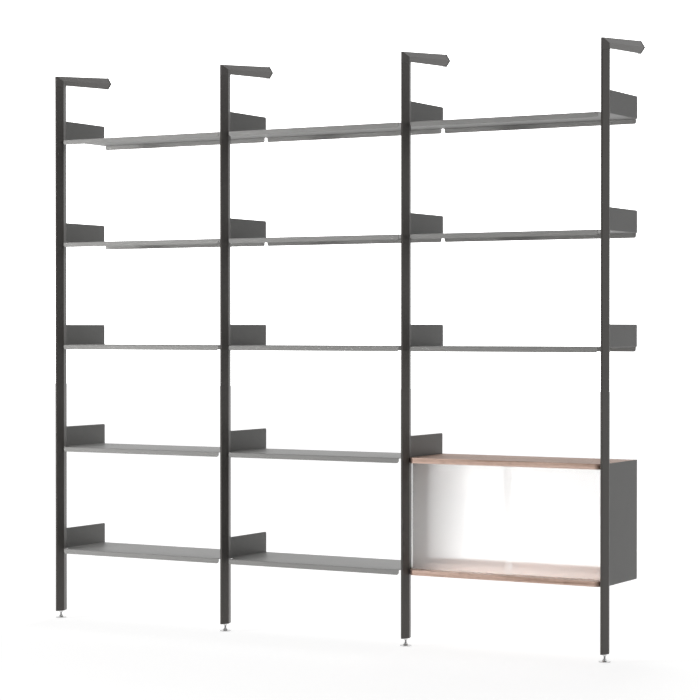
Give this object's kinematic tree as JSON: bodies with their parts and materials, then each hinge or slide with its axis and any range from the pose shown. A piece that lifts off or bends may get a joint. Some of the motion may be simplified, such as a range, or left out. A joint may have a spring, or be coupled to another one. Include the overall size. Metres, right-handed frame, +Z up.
{
  "type": "wall shelving unit",
  "caption": "Open shelving on slotted six-sided uprights with levelling feet and arms to the wall, folded metal shelves, and a wood and metal cabinet with two sliding glass doors.",
  "frame": {"origin": "on the wall plane, at floor level, in the middle of the width", "axes": "+X along the wall to the viewer's right, +Y into the wall, +Z up; the front faces -Y"},
  "size_m": [2.444, 0.358, 2.2358],
  "materials": {
    "upright_paint": "matt powder coat",
    "arm_paint": "matt powder coat",
    "shelf_paint": "matt powder coat",
    "zinc_steel": "zinc plated",
    "polished_steel": "bright",
    "satin_aluminium": "satin anodised",
    "walnut": "oiled walnut",
    "frosted_glass": "acid-etched",
    "nylon": "moulded"
  },
  "bodies": {
    "frame": {"upright_1": "upright_paint", "hanger_strip_1": "zinc_steel", "elbow_arm_1": "arm_paint", "wall_plate_1": "upright_paint", "foot_socket_1": "nylon", "foot_lock_nut_1": "polished_steel", "upright_2": "upright_paint", "hanger_strip_2": "zinc_steel", "elbow_arm_2": "arm_paint", "wall_plate_2": "upright_paint", "foot_socket_2": "nylon", "foot_lock_nut_2": "polished_steel", "upright_3": "upright_paint", "hanger_strip_3": "zinc_steel", "elbow_arm_3": "arm_paint", "wall_plate_3": "upright_paint", "foot_socket_3": "nylon", "foot_lock_nut_3": "polished_steel", "upright_4": "upright_paint", "hanger_strip_4": "zinc_steel", "elbow_arm_4": "arm_paint", "wall_plate_4": "upright_paint", "foot_socket_4": "nylon", "foot_lock_nut_4": "polished_steel", "shelf_bay1_level1": "shelf_paint", "shelf_bay1_level2": "shelf_paint", "shelf_bay1_level3": "shelf_paint", "shelf_bay1_level4": "shelf_paint", "shelf_bay1_level5": "shelf_paint", "shelf_bay2_level1": "shelf_paint", "shelf_bay2_level2": "shelf_paint", "shelf_bay2_level3": "shelf_paint", "shelf_bay2_level4": "shelf_paint", "shelf_bay2_level5": "shelf_paint", "shelf_bay3_level3": "shelf_paint", "shelf_bay3_level4": "shelf_paint", "shelf_bay3_level5": "shelf_paint", "cabinet_top_panel": "walnut", "cabinet_bottom_panel": "walnut", "cabinet_rear_rail": "walnut", "cabinet_left_side": "shelf_paint", "cabinet_right_side": "shelf_paint"},
    "door_left": {"door_left_glass": "frosted_glass", "door_left_glide": "nylon", "door_left_pull": "satin_aluminium"},
    "door_right": {"door_right_glass": "frosted_glass", "door_right_glide": "nylon", "door_right_pull": "satin_aluminium"},
    "foot_1": {"foot_stem_1": "polished_steel", "foot_pad_1": "polished_steel"},
    "foot_2": {"foot_stem_2": "polished_steel", "foot_pad_2": "polished_steel"},
    "foot_3": {"foot_stem_3": "polished_steel", "foot_pad_3": "polished_steel"},
    "foot_4": {"foot_stem_4": "polished_steel", "foot_pad_4": "polished_steel"}
  },
  "joints": [
    {"name": "door_left_slide", "type": "slide", "parent": "frame", "child": "door_left", "axis": [1, 0, 0], "range_m": [0, 0.38]},
    {"name": "door_right_slide", "type": "slide", "parent": "frame", "child": "door_right", "axis": [1, 0, 0], "range_m": [-0.38, 0]},
    {"name": "foot_1_level", "type": "slide", "parent": "frame", "child": "foot_1", "axis": [0, 0, 1], "range_m": [-0.01, 0.008]},
    {"name": "foot_2_level", "type": "slide", "parent": "frame", "child": "foot_2", "axis": [0, 0, 1], "range_m": [-0.01, 0.008]},
    {"name": "foot_3_level", "type": "slide", "parent": "frame", "child": "foot_3", "axis": [0, 0, 1], "range_m": [-0.01, 0.008]},
    {"name": "foot_4_level", "type": "slide", "parent": "frame", "child": "foot_4", "axis": [0, 0, 1], "range_m": [-0.01, 0.008]}
  ]
}
